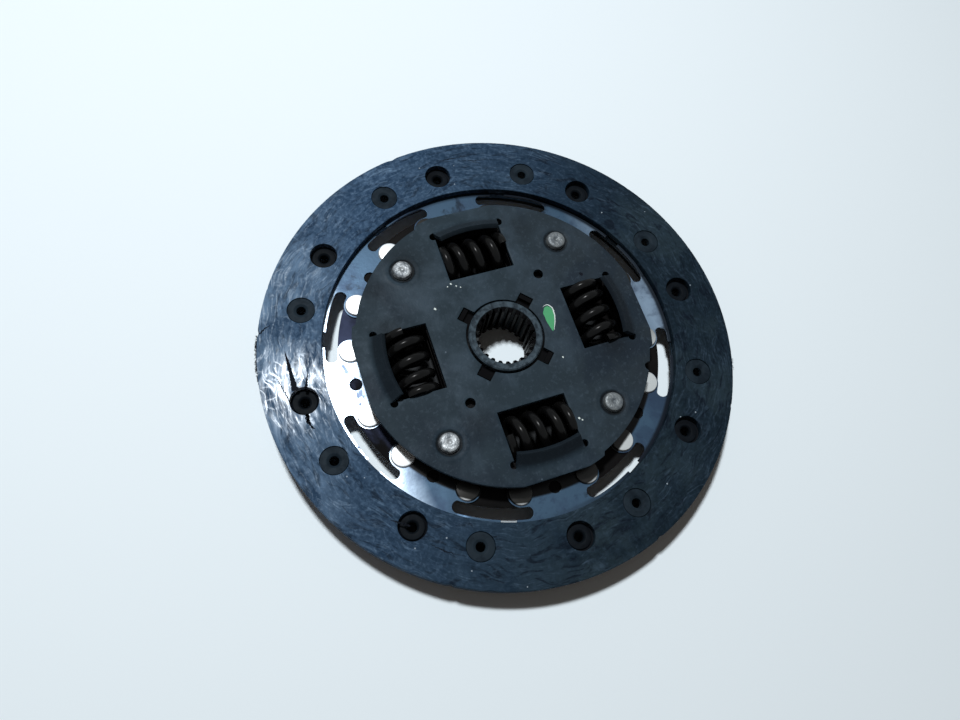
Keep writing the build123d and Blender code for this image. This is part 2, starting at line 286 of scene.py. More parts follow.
def spread(value, low, high, toLow=0.0, toHigh=1.0):
    settings = {1: low, 2: high, 3: toLow, 4: toHigh}
    return put(value.id_data, "ShaderNodeMapRange", settings, {0: value}).outputs[0]


def times(a, b):
    links = {0: a} if isinstance(b, (int, float)) else {0: a, 1: b}
    settings = {1: b} if isinstance(b, (int, float)) else {}
    return put(a.id_data, "ShaderNodeMath", settings, links, operation="MULTIPLY").outputs[0]


def plus(a, b):
    return put(a.id_data, "ShaderNodeMath", {}, {0: a, 1: b}, operation="ADD").outputs[0]


def vectorMath(operation, place, other=None):
    settings = {} if other is None else {1: other}
    return put(place.id_data, "ShaderNodeVectorMath", settings, {0: place}, operation=operation)


def measured(operation, place, other=None):
    return vectorMath(operation, place, other).outputs["Value"]


def flattened(place):
    return vectorMath("MULTIPLY", place, (1, 1, 0)).outputs[0]


def apartOf(place):
    return put(place.id_data, "ShaderNodeSeparateXYZ", {}, {0: place}).outputs


def blended(share, under, over):
    # one colour over another; a colour is four numbers or a socket
    tree = share.id_data
    node = tree.nodes.new("ShaderNodeMix")
    node.data_type = "RGBA"
    tree.links.new(share, node.inputs[0])
    for socket, colour in ((node.inputs[6], under), (node.inputs[7], over)):
        if isinstance(colour, bpy.types.NodeSocket):
            tree.links.new(colour, socket)
        else:
            socket.default_value = colour
    return node.outputs[2]


def makeRingStreaks():
    # noise on (Along * direction from the axis, Across * radius); a broad noise that shifts the radius
    # makes the streaks wander, and Seed sets one layer apart from another
    group, source, result = newGroup(
        "ringStreaks", "Streak", Along=12, Across=900, Wander=0.01, Seed=0, Detail=3, Bend=0.4,
        Low=0.4, High=0.7
    )
    broad = put(group, "ShaderNodeTexNoise", {"Scale": 38, "Detail": 2},
                {"Vector": source["Place"], "W": source["Seed"]}, noise_dimensions="4D")
    shift = times(spread(broad.outputs["Fac"], 0, 1, -0.5, 0.5), source["Wander"])
    flat = flattened(source["Place"])
    radius = measured("LENGTH", flat)
    direction = vectorMath("NORMALIZE", flat).outputs[0]
    stretched = put(
        group, "ShaderNodeVectorMath", {}, {0: direction, "Scale": source["Along"]}, operation="SCALE"
    )
    height = times(plus(radius, shift), source["Across"])
    lifted = put(group, "ShaderNodeCombineXYZ", {}, {"Z": height})
    place = put(
        group, "ShaderNodeVectorMath", {}, {0: stretched.outputs[0], 1: lifted.outputs[0]}, operation="ADD"
    )
    noise = put(group, "ShaderNodeTexNoise", {"Scale": 1, "Roughness": 0.55},
                {"Vector": place.outputs[0], "W": source["Seed"], "Detail": source["Detail"],
                 "Distortion": source["Bend"]}, noise_dimensions="4D")
    ramp = put(
        group, "ShaderNodeMapRange", {}, {0: noise.outputs["Fac"], 1: source["Low"], 2: source["High"]}
    )
    group.links.new(ramp.outputs[0], result)
    return group


def makeMottle():
    # cloudy noise spread between Low and High
    group, source, result = newGroup("mottle", "Mask", Scale=100, Detail=5, Low=0.35, High=0.65)
    noise = put(group, "ShaderNodeTexNoise", {"Roughness": 0.62, "Distortion": 0.3},
                {"Vector": source["Place"], "Scale": source["Scale"], "Detail": source["Detail"]})
    links = {0: noise.outputs["Fac"], 1: source["Low"], 2: source["High"]}
    ramp = put(group, "ShaderNodeMapRange", {}, links, interpolation_type="SMOOTHSTEP")
    group.links.new(ramp.outputs[0], result)
    return group


def makeSpecks():
    # a dot in some cells of a cell pattern: near the cell's point, and only where its lot is low
    group, source, result = newGroup("specks", "Mask", Scale=300, Size=0.2, Share=0.2)
    cells = put(group, "ShaderNodeTexVoronoi", {}, {"Vector": source["Place"], "Scale": source["Scale"]})
    near = put(
        group, "ShaderNodeMath", {}, {0: cells.outputs["Distance"], 1: source["Size"]},
        operation="LESS_THAN"
    )
    lot = put(group, "ShaderNodeSeparateColor", {}, {0: cells.outputs["Color"]})
    drawn = put(group, "ShaderNodeMath", {}, {0: lot.outputs[0], 1: source["Share"]}, operation="LESS_THAN")
    group.links.new(times(near.outputs[0], drawn.outputs[0]), result)
    return group


ringStreaks, mottle, specks = makeRingStreaks(), makeMottle(), makeSpecks()


def effect(group, place, **values):
    return put(place.id_data, "ShaderNodeGroup", values, {"Place": place}, node_tree=group).outputs[0]


def newFinish(name, look):
    # a material with the look's plain values; returns it with its shader and place
    material = bpy.data.materials.new(name)
    material.use_nodes = True
    tree = material.node_tree
    shader = tree.nodes["Principled BSDF"]
    shader.inputs["Base Color"].default_value = look["colour"]
    shader.inputs["Roughness"].default_value = look["roughness"]
    shader.inputs["Metallic"].default_value = look.get("metal", 0)
    shader.inputs["Specular IOR Level"].default_value = look.get("gloss", 0.5)
    place = tree.nodes.new("ShaderNodeTexCoord").outputs["Object"]
    material.diffuse_color = look["colour"]
    return material, shader, place


def feed(shader, label, source):
    shader.id_data.links.new(source, shader.inputs[label])


def bumped(shader, height, look):
    settings = {"Strength": look["bump"], "Distance": look["bumpHeight"] * mm}
    bump = put(shader.id_data, "ShaderNodeBump", settings, {"Height": height})
    feed(shader, "Normal", bump.outputs[0])


def rgb(red, green, blue):
    # a colour given as it looks on a screen, 0 to 255
    value = np.array([red, green, blue]) / 255
    value = np.where(value <= 0.04045, value / 12.92, ((value + 0.055) / 1.055) ** 2.4)
    return (*map(float, value), 1.0)


facingLook = {
    "colour": rgb(18, 29, 37), "roughness": 0.5, "gloss": 0.02, "litSheen": rgb(36, 58, 82),
    "sheen": rgb(92, 120, 150), "glareTone": rgb(124, 152, 180), "deep": rgb(10, 17, 27),
    "dim": rgb(118, 146, 174), "pale": rgb(222, 232, 242), "stain": rgb(31, 43, 50),
    "speck": rgb(170, 184, 196), "litSheenSide": (-0.50, -0.866, 0), "litSheenRange": (-0.05, 0.07),
    "glareSide": (-0.225, -0.974, 0), "glareRange": (0.060, 0.088),
    "scrapedGlare": (-0.004, -0.086, 0.0144), "scrapedGlareReach": 0.022, "bump": 0.6, "bumpHeight": 0.14,
}


def makeFacingFinish(look):
    # broad strokes, thin scratches and grit; a bluish sheen painted stronger on one side, a painted glare on
    # part of it, and scuffs worn and painted glare-white round the scraped spot
    material, shader, place = newFinish("frictionLining", look)
    strokes = effect(
        ringStreaks, place, Along=7, Across=330, Wander=0.014, Seed=1, Detail=6, Bend=0.7,
        Low=0.42, High=0.64
    )
    scratches = effect(
        ringStreaks, place, Along=11, Across=1300, Wander=0.020, Seed=2, Detail=4, Bend=0.5,
        Low=0.53, High=0.66
    )
    cross = effect(
        ringStreaks, place, Along=24, Across=620, Wander=0.035, Seed=3, Detail=5, Bend=1.0,
        Low=0.54, High=0.68
    )
    dark = effect(
        ringStreaks, place, Along=10, Across=420, Wander=0.022, Seed=4, Detail=6, Bend=0.9,
        Low=0.53, High=0.64
    )
    cloud = effect(mottle, place, Scale=46, Detail=5, Low=0.40, High=0.62)
    patch = effect(mottle, place, Scale=30, Detail=3, Low=0.44, High=0.62)
    grit = effect(mottle, place, Scale=620, Detail=5, Low=0.42, High=0.62)
    dots = effect(specks, place, Scale=420, Size=0.14, Share=0.03)
    # painted sheen and painted glare, set by direction; they do not follow the lamp
    litSheen = spread(measured("DOT_PRODUCT", place, look["litSheenSide"]), *look["litSheenRange"])
    glareMask = spread(measured("DOT_PRODUCT", place, look["glareSide"]), *look["glareRange"])
    # the scraped spot is worn, and it also carries painted glare
    away = measured("DISTANCE", place, look["scrapedGlare"])
    scrapedGlare = spread(away, look["scrapedGlareReach"] * 0.3, look["scrapedGlareReach"], 1.0, 0.0)
    ground = blended(patch, look["colour"], look["stain"])
    ground = blended(litSheen, ground, look["litSheen"])
    ground = blended(times(glareMask, plus(times(cloud, 0.45), times(strokes, 0.3))), ground, look["glareTone"])
    # painted sheen streaks on the lit side
    sheen = times(plus(strokes, grit), spread(litSheen, 0.3, 1, 0.03, 0.24))
    ground = blended(sheen, ground, look["sheen"])
    ground = blended(times(dark, spread(litSheen, 0.3, 1, 0.75, 0.5)), ground, look["deep"])
    lines = plus(times(scratches, 0.75), times(cross, 0.55))
    lines = times(lines, plus(times(cloud, 0.7), times(grit, 0.5)))
    # scuffs are painted brighter on the lit side
    lines = times(lines, plus(spread(litSheen, 0.2, 1, 0.12, 0.55), times(glareMask, 0.4)))
    rubbedGlare = times(scrapedGlare, plus(times(strokes, 0.9), plus(times(scratches, 0.5), times(cross, 0.5))))
    scuffs = spread(plus(lines, rubbedGlare), 0, 1)
    # scuffs turn pale as painted glare where the glare and the scraped spot are
    pale = blended(spread(plus(times(glareMask, 0.35), scrapedGlare), 0, 1), look["dim"], look["pale"])
    scuffed = blended(scuffs, ground, pale)
    feed(shader, "Base Color", blended(times(dots, 0.6), scuffed, look["speck"]))
    feed(shader, "Roughness", spread(scuffs, 0, 1, 0.50, 0.34))
    feed(shader, "Metallic", times(scuffs, times(scrapedGlare, 0.25)))
    relief = plus(
        plus(times(strokes, 0.3), times(scratches, 0.4)), plus(times(grit, 0.4), times(dark, -0.5))
    )
    bumped(shader, relief, look)
    return material


plateLook = {
    "colour": rgb(36, 48, 56), "roughness": 0.5, "gloss": 0.05, "lip": rgb(14, 19, 24),
    "lipRange": (0.0206, 0.0216, 0, 0.75), "cloud": rgb(50, 64, 75), "deep": rgb(24, 34, 44),
    "speck": rgb(96, 110, 122), "grain": rgb(66, 80, 92), "grimeAndShade": rgb(12, 15, 18),
    "shadedSide": rgb(36, 41, 46), "shadedSideRange": (0.0, 0.06, 0, 0.6), "bump": 0.4, "bumpHeight": 0.07,
}


def makePlateFinish(look):
    material, shader, place = newFinish("plateSteel", look)
    cloud = effect(mottle, place, Scale=55, Detail=6, Low=0.40, High=0.68)
    stain = effect(mottle, place, Scale=24, Detail=4, Low=0.50, High=0.66)
    fine = effect(mottle, place, Scale=1300, Detail=3, Low=0.3, High=0.7)
    grain = effect(mottle, place, Scale=620, Detail=3, Low=0.52, High=0.72)
    dots = effect(specks, place, Scale=300, Size=0.11, Share=0.02)
    ground = blended(cloud, look["colour"], look["cloud"])
    side = apartOf(place)[1]
    # painted shade: darker towards +Y
    ground = blended(spread(side, *look["shadedSideRange"]), ground, look["shadedSide"])
    ground = blended(times(stain, 0.7), ground, look["deep"])
    ground = blended(times(grain, 0.3), ground, look["grain"])
    # the attribute holds painted shade in the pin pits and smudges that are partly dirt, partly painted shade
    grimeAndShade = put(shader.id_data, "ShaderNodeAttribute", attribute_name="grimeAndShade").outputs["Fac"]
    ground = blended(
        times(grimeAndShade, plus(times(fine, 0.4), spread(cloud, 0, 1, 0.9, 0.5))), ground, look["grimeAndShade"]
    )
    height = apartOf(place)[2]
    ground = blended(spread(height, *look["lipRange"]), ground, look["lip"])
    feed(shader, "Base Color", blended(times(dots, 0.6), ground, look["speck"]))
    feed(shader, "Roughness", spread(cloud, 0, 1, 0.56, 0.42))
    bumped(shader, fine, look)
    return material


def underPlate(place, low, high, reach, narrowing):
    # a painted shadow, which doesn't follow the lamp: 1 towards +X, inside a radius that shrinks as y
    # grows, on the parts beside the retaining plate
    apart = apartOf(place)
    radius = measured("LENGTH", flattened(place))
    grown = plus(radius, spread(apart[1], 0.0145, 0.0335, 0, narrowing))
    return times(spread(apart[0], low, high), spread(grown, reach + 0.0004, reach - 0.0004)), radius, apart


cushionLook = {
    "colour": rgb(56, 78, 98), "paintedGlare": rgb(176, 192, 208), "paintedGlareRange": (0.053, 0.067),
    "pale": rgb(122, 142, 162), "paleRange": (-0.055, -0.068), "roughness": 0.34, "metal": 0.35,
    "gloss": 0.1, "side": (0.12, -1, 0), "stain": rgb(28, 38, 60), "soot": rgb(14, 18, 25),
    "darkEdgeBandRadii": (0.0724, 0.0734), "darkEdgeBandRange": (0.02, -0.03, 0.0, 0.9), "underFacingShade": rgb(12, 15, 20),
    "underFacingShadeRadius": 0.0752, "shade": rgb(9, 9, 10), "underPlate": (0.018, 0.032, 0.0652, 0.0),
    "bump": 0.15, "bumpHeight": 0.04,
}


def makeCushionFinish(look):
    # blued steel, with a painted glare and a painted paler tone by side (look["side"]), and sooty elsewhere
    material, shader, place = newFinish("cushionSteel", look)
    stain = effect(mottle, place, Scale=60, Detail=4, Low=0.42, High=0.66)
    blot = effect(mottle, place, Scale=150, Detail=5, Low=0.56, High=0.64)
    soot = effect(mottle, place, Scale=110, Detail=6, Low=0.60, High=0.70)
    fine = effect(mottle, place, Scale=700, Detail=3, Low=0.3, High=0.7)
    shade, radius, apart = underPlate(place, *look["underPlate"])
    underFacingShade = spread(radius, look["underFacingShadeRadius"] - 0.0004, look["underFacingShadeRadius"])  # painted shade under the facings, with lining dust
    side = measured("DOT_PRODUCT", place, look["side"])
    # painted glare towards look["side"], and a painted paler tone on the far side
    paintedGlare = spread(side, *look["paintedGlareRange"])
    ground = blended(spread(side, *look["paleRange"]), look["colour"], look["pale"])
    ground = blended(paintedGlare, ground, look["paintedGlare"])
    awayFromGlare = spread(paintedGlare, 1.0, 0.0, 0.3, 1.0)
    ground = blended(times(stain, times(awayFromGlare, 0.6)), ground, look["stain"])
    ground = blended(times(blot, spread(paintedGlare, 0, 1, 0.3, 1)), ground, look["stain"])
    # darker in a band just inside the facings' inner edge, away from the paler side
    darkEdgeBand = times(spread(radius, *look["darkEdgeBandRadii"]), spread(side, *look["darkEdgeBandRange"]))
    ground = blended(darkEdgeBand, ground, look["soot"])
    ground = blended(times(soot, times(awayFromGlare, 0.7)), ground, look["soot"])
    ground = blended(shade, ground, look["shade"])
    # painted shade, with lining dust, where the segments run under the facings
    feed(shader, "Base Color", blended(underFacingShade, ground, look["underFacingShade"]))
    feed(shader, "Metallic", spread(paintedGlare, 0, 1, look["metal"], 1.0))
    polish = plus(spread(stain, 0, 1, 0.30, 0.40), times(underFacingShade, 0.4))
    feed(shader, "Roughness", polish)
    bumped(shader, fine, look)
    return material


footRivetLook = {
    "colour": rgb(232, 236, 238), "shadedHead": rgb(186, 192, 193), "shadedHeadRange": (-0.05, 0.02),
    "shade": rgb(26, 25, 23), "unlitAcross": (-0.028, -0.018), "unlitAlong": (0.02, 0.005),
    "underPlate": (0.038, 0.050, 0.0674, 0.0032), "roughness": 0.3, "metal": 0.25, "gloss": 0.2,
    "bump": 0.08, "bumpHeight": 0.02,
}


def makeFootRivetFinish(look):
    # heads painted bright as if lit, duller towards +Y as painted shade; dark ones in one quarter and beside
    # the retaining plate are painted shade, not lit so
    material, shader, place = newFinish("footRivetSteel", look)
    fine = effect(mottle, place, Scale=500, Detail=3, Low=0.3, High=0.7)
    shade, radius, apart = underPlate(place, *look["underPlate"])
    # painted shade: the heads are duller towards +Y
    ground = blended(spread(apart[1], *look["shadedHeadRange"]), look["colour"], look["shadedHead"])
    unlit = times(spread(apart[1], *look["unlitAcross"]), spread(apart[0], *look["unlitAlong"]))
    ground = blended(unlit, ground, look["shade"])
    feed(shader, "Base Color", blended(shade, ground, look["shade"]))
    bumped(shader, fine, look)
    return material


def makeMetal(name, look):
    # a metal whose tone and polish wander a little, with a fine grain
    material, shader, place = newFinish(name, look)
    cloud = effect(mottle, place, Scale=look["cloudScale"], Detail=5, Low=0.38, High=0.66)
    fine = effect(mottle, place, Scale=look["grainScale"], Detail=3, Low=0.3, High=0.7)
    ground = blended(cloud, look["colour"], look["second"])
    if "far" in look:  # painted shade: another, darker tone past a line along X
        across = apartOf(place)[1]
        ground = blended(
            spread(across, *look["farRange"]), ground, blended(cloud, look["far"], look["second"])
        )
    feed(shader, "Base Color", ground)
    feed(shader, "Roughness", spread(cloud, 0, 1, look["roughness"], look["roughness2"]))
    bumped(shader, fine, look)
    return material


metalLooks = {
    # its slate-violet colour is a painted reflection on the -Y side; past the line it is dark
    "lowerPlateSteel": {
        "colour": rgb(58, 66, 92), "second": rgb(13, 13, 14), "far": rgb(20, 19, 19),
        "farRange": (-0.058, -0.052), "roughness": 0.45, "roughness2": 0.6, "gloss": 0.02,
        "cloudScale": 40, "grainScale": 900, "bump": 0.2, "bumpHeight": 0.05,
    },
    "rivetMetal": {
        "colour": rgb(32, 42, 50), "second": rgb(20, 28, 35), "roughness": 0.5, "roughness2": 0.6,
        "gloss": 0.03, "cloudScale": 160, "grainScale": 1500, "bump": 0.15, "bumpHeight": 0.03,
    },
    # the tails at the bottom of the deep holes are painted darker, as shade
    "rivetTail": {
        "colour": rgb(15, 20, 25), "second": rgb(9, 12, 16), "roughness": 0.5, "roughness2": 0.6,
        "gloss": 0.03, "cloudScale": 160, "grainScale": 1500, "bump": 0.15, "bumpHeight": 0.03,
    },
    "pinSteel": {
        "colour": rgb(156, 161, 164), "second": rgb(80, 86, 91), "far": rgb(104, 109, 111),
        "farRange": (-0.02, 0.02), "roughness": 0.36, "roughness2": 0.48, "metal": 0.3,
        "gloss": 0.2, "cloudScale": 420, "grainScale": 900, "bump": 0.6, "bumpHeight": 0.12,
    },
    "springSteel": {
        "colour": rgb(12, 12, 12), "second": rgb(8, 8, 9), "roughness": 0.23, "roughness2": 0.27,
        "gloss": 0.09, "cloudScale": 120, "grainScale": 900, "bump": 0.08, "bumpHeight": 0.03,
    },
    "bushPlastic": {
        "colour": rgb(7, 7, 9), "second": rgb(10, 10, 12), "roughness": 0.11, "roughness2": 0.14,
        "gloss": 0.04, "cloudScale": 90, "grainScale": 900, "bump": 0.1, "bumpHeight": 0.03,
    },
}

hubLook = {
    "colour": rgb(62, 75, 84), "second": rgb(32, 41, 48), "bore": rgb(7, 7, 9),
    "boreRadius": 0.0127, "flangeRadius": 0.018, "roughness": 0.42, "gloss": 0.04, "metal": 0.04,
    "bump": 0.5, "bumpHeight": 0.1,
}


def makeHubFinish(look):
    # mottled steel, with painted shade inside the bore and on the flange
    material, shader, place = newFinish("hubSteel", look)
    cloud = effect(mottle, place, Scale=420, Detail=5, Low=0.38, High=0.64)
    fine = effect(mottle, place, Scale=1200, Detail=3, Low=0.3, High=0.7)
    radius = measured("LENGTH", flattened(place))
    bore = spread(radius, look["boreRadius"], look["boreRadius"] - 0.0003)
    ground = blended(cloud, look["colour"], look["second"])
    # painted shade on the flange and inside the bore
    ground = blended(
        spread(radius, look["flangeRadius"], look["flangeRadius"] + 0.0005), ground, look["bore"]
    )
    feed(shader, "Base Color", blended(bore, ground, look["bore"]))
    feed(shader, "Roughness", spread(bore, 0, 1, look["roughness"], 0.26))
    bumped(shader, plus(times(cloud, 0.6), fine), look)
    return material


facingFinish = makeFacingFinish(facingLook)
plateFinish = makePlateFinish(plateLook)
cushionFinish = makeCushionFinish(cushionLook)
footRivetFinish = makeFootRivetFinish(footRivetLook)
hubFinish = makeHubFinish(hubLook)
metals = {name: makeMetal(name, look) for name, look in metalLooks.items()}
soot = newFinish("sootBlack", {"colour": rgb(12, 16, 24), "roughness": 0.85, "gloss": 0.1})[0]
greenPaint = newFinish("greenPaint", {"colour": rgb(28, 132, 78), "roughness": 0.5})[0]
whitePaint = newFinish("whitePaint", {"colour": rgb(196, 208, 206), "roughness": 0.6})[0]
print("finishes made")


facingShape = {
    "inner": 74.5, "outer": 99.94, "edge": 0.3, "holeEdge": 0.16, "seat": 5.7, "shank": 2.45,
    "web": 1.4, "arcSteps": 64, "sideSteps": 20, "rows": 10, "fray": 0.05,
    "bites": [(329.3, 0.8, 0.9), (191.3, 1.1, 0.7), (18.6, 0.9, 0.9), (252.0, 0.7, 0.8)],
}


def rimLoss(angles, shape, seed):
    # how far the facing's edge is worn back: a fine hum, small nicks where a slow hum peaks,
    # and the few larger bites, each a smooth bump in angle
    loss = shape["fray"] * (1 + 0.6 * hum(angles, 60, 420, 60, seed))
    loss += 0.35 * np.clip(hum(angles, 20, 160, 40, seed + 1) - 1.5, 0, 1)
    for degrees, width, depth in shape["bites"]:
        away = (np.degrees(angles) - degrees + 180) % 360 - 180
        loss += depth * np.exp(-((away / width) ** 2) * 2)
    return np.clip(loss, 0.01, 2)


def facingMesh(shape, outerFace, innerFace, ownAngles, otherAngles, seed):
    # each hole has a cell of the ring. A sheet runs from the cell's border in to the hole, down
    # the hole's wall and back out to the border: border + share * (hole circle - border)
    away = np.sign(outerFace - innerFace)
    step = turn / 16
    first = footAngles[0] + (troughAngles[0] + crestAngles[0]) / 2 - step
    parts = []
    share = np.linspace(0, 1, shape["rows"])[:, None, None]
    for cell in range(16):
        start = first + cell * step
        along = np.arange(shape["arcSteps"]) / shape["arcSteps"]
        across = np.arange(shape["sideSteps"]) / shape["sideSteps"]
        stop = start + step
        angles = np.concatenate(
            [start + step * along, stop + 0 * across, stop - step * along, start + 0 * across]
        )
        outwards = np.concatenate([0 * along, across, 0 * along + 1, 1 - across])
        outerEdge = shape["outer"] - shape["edge"] - rimLoss(angles, shape, seed)
        radii = (shape["inner"] + shape["edge"]) * (1 - outwards) + outerEdge * outwards
        outerBack = shape["outer"] - 0.2 * rimLoss(angles, shape, seed)
        radiiBack = shape["inner"] * (1 - outwards) + outerBack * outwards
        own = np.abs((ownAngles - start) % turn) < step
        other = np.abs((otherAngles - start) % turn) < step
        holeAngle = ownAngles[own][0] if own.any() else otherAngles[other][0]
        centre = spotsAt(rivetCircle, holeAngle)
        border = spotsAt(radii, angles)
        borderBack = spotsAt(radiiBack, angles)
        spoke = border - centre
        spoke /= np.linalg.norm(spoke, axis=1, keepdims=True)
        edge = shape["holeEdge"]
        seat = shape["seat"]
        wall = [(seat + 0.3 * edge, outerFace - away * 0.3 * edge), (seat, outerFace - away * edge)]
        webTop = innerFace + away * shape["web"]
        if own.any():
            wall += [(seat, webTop), (shape["shank"], webTop), (shape["shank"], innerFace)]
        else:
            wall += [(seat, (outerFace + innerFace) / 2), (seat, innerFace)]
        rim = centre + (seat + edge) * spoke
        top = border[None] * (1 - share) + rim[None] * share
        rows = [raised(top, outerFace)]
        for radius, height in wall:
            ring = centre + radius * spoke
            rows.append(raised(ring, height)[None])
        last = centre + wall[-1][0] * spoke
        for part in (0.25, 0.6, 1.0):
            back = last * (1 - part) + borderBack * part
            rows.append(raised(back, innerFace)[None])
        points = np.concatenate(rows)
        parts.append((points.reshape(-1, 3), gridQuads(points.shape[0], points.shape[1], closeColumns=True)))
    angles = first + np.arange(16 * shape["arcSteps"]) / (16 * shape["arcSteps"]) * turn
    loss = rimLoss(angles, shape, seed)
    thickness = abs(outerFace - innerFace)
    edge = shape["edge"]
    outerRows = [(-edge, 1.0, 0), (-0.3 * edge, 0.8, 0.3 * edge), (0, 0.6, edge), (0, 0.4, thickness * 0.35),
                 (0, 0.5, thickness * 0.6), (0, 0.3, thickness * 0.8), (0, 0.2, thickness)]
    wallPoints = []
    for offset, worn, down in outerRows:
        radius = shape["outer"] + offset - worn * loss
        wallPoints.append(raised(spotsAt(radius, angles), outerFace - away * down))
    parts.append(
        (np.concatenate(wallPoints), gridQuads(len(outerRows), len(angles), closeColumns=True)[:, ::-1])
    )
    wallPoints = []
    for offset, down in ((edge, 0), (0.3 * edge, 0.3 * edge), (0, edge), (0, thickness)):
        radius = shape["inner"] + offset + 0 * angles
        wallPoints.append(raised(spotsAt(radius, angles), outerFace - away * down))
    parts.append((np.concatenate(wallPoints), gridQuads(4, len(angles), closeColumns=True)))
    points, faces = joined(parts)
    return points, faces if away < 0 else faces[:, ::-1]


for nodeName, pieceName, upwards, own, other, seed in (
    ("upper_facing", "upperFacing", True, crestAngles, troughAngles, 5),
    ("lower_facing", "lowerFacing", False, troughAngles, crestAngles, 9),
):
    low, high = heightOf(nodeName)
    outerFace, innerFace = (high, low) if upwards else (low, high)
    points, faces = facingMesh(facingShape, outerFace, innerFace, own, other, seed)
    newPiece(pieceName, points, faces, facingFinish, "disc", [nodeName])
print("facings made")


facingRivet = {
    "head": 5.5, "recess": 0.3, "thick": 1.1, "shank": 2.4, "bore": 1.9, "dish": 2.9,
    "dishDepth": 0.6, "curl": 4.9, "curlHeight": 0.8,
}


def facingRivetProfile(shape, outerFace, innerFace):
    # flat head with a dished middle, tube, and a tail rolled over; from the head's rim to the tail and
    # back up the bore
    away = np.sign(outerFace - innerFace)
    top = outerFace - away * shape["recess"]
    under = top - away * shape["thick"]
    tail = innerFace - away * shape["curlHeight"]
    head, shank, curl, bore = shape["head"], shape["shank"], shape["curl"], shape["bore"]
    return rounded([
        (shape["dish"], top, 0.3), (head, top, 0.18), (head, under, 0.1), (shank, under, 0),
        (shank, innerFace, 0), (curl, innerFace, 0.1), (curl, tail, 0.35), (bore + 0.7, tail, 0.3),
        (bore, innerFace, 0.3), (bore, top - away * shape["dishDepth"], 0.15),
    ], closed=True)


upperTop = heightOf("upper_facing")[1]
lowerBottom = heightOf("lower_facing")[0]
upperTail, lowerTail = heightOf("upper_facing_rivets")[0], heightOf("lower_facing_rivets")[1]
curl = facingRivet["curlHeight"]
for nodeName, pieceName, finish, angles, outerFace, innerFace in (
    ("upper_facing_rivets", "upperFacingRivets", "rivetMetal", crestAngles, upperTop, upperTail + curl),
    ("lower_facing_rivets", "lowerFacingRivets", "rivetTail", troughAngles, lowerBottom, lowerTail - curl),
):
    profile = facingRivetProfile(facingRivet, outerFace, innerFace)
    points, faces = turned(profile, spotsAt(rivetCircle, angles), 48, closed=True)
    faces = faces if outerFace < innerFace else faces[:, ::-1]
    newPiece(pieceName, points, faces, metals[finish], "disc", [nodeName], 40)

footRivet = {
    "circle": 63.2, "spread": 13.0, "head": 4.9, "top": 4.55, "shank": 3.0, "tail": 4.2,
    "headBottom": 11.0, "tailTop": 8.2,
}
low, high = heightOf("segment_rivets")
headBottom, tailTop, shank, tail = (footRivet[key] for key in ("headBottom", "tailTop", "shank", "tail"))
profile = rounded([
    (0, high, 0), (footRivet["top"], high - 0.02, 0.35), (footRivet["head"], headBottom, 0.12),
    (shank, headBottom, 0), (shank, tailTop, 0), (tail, tailTop, 0.1), (tail - 0.3, low, 0.3),
    (0, low, 0),
])
rivetSpread = np.radians(footRivet["spread"])
footSpots = spotsAt(
    footRivet["circle"], np.concatenate([footAngles - rivetSpread, footAngles + rivetSpread])
)
points, faces = turned(profile, footSpots)
newPiece(
    "footRivets", points, faces[:, ::-1], footRivetFinish, "disc", ["segment_rivets"], 40
)

stopPin = {
    "head": 4.25, "top": 3.75, "headHeight": 2.1, "neck": 3.2, "body": 4.5, "dimple": 1.15,
    "dimpleDepth": 0.55,
}
low, high = heightOf("stop_pins")
plateTop, plateBottom = high - stopPin["headHeight"], low + stopPin["headHeight"]
head, top, neck, body = (stopPin[key] for key in ("head", "top", "neck", "body"))
dimple = high - stopPin["dimpleDepth"]
profile = rounded([
    (0, dimple, 0), (0.35, dimple, 0.2), (stopPin["dimple"], high - 0.05, 0.35), (top - 0.7, high, 0.5),
    (top, high - 0.35, 0.3), (head, plateTop, 0.15), (neck, plateTop, 0),
    (neck, plateTop - plateThickness, 0), (body, plateTop - plateThickness, 0.2),
    (body, plateBottom + plateThickness, 0.2), (neck, plateBottom + plateThickness, 0),
    (neck, plateBottom, 0), (head, plateBottom, 0.15), (top, low + 0.35, 0.3),
    (top - 0.7, low, 0.5), (0, low, 0),
])
points, faces = turned(profile, spotsAt(pinCircle, pinAngles), 64)
newPiece("stopPins", points, faces[:, ::-1], metals["pinSteel"], "disc", ["stop_pins"], 50)
print("rivets and pins made")


windowShape = {
    "inner": 29.9, "halfWidth": 14.4, "root": 53.836, "fold": 54.664, "rise": 4.18, "bend": 1.6,
    "lipHalfAngle": 15.2, "relief": 1.6, "reliefAngle": 16.1,
}


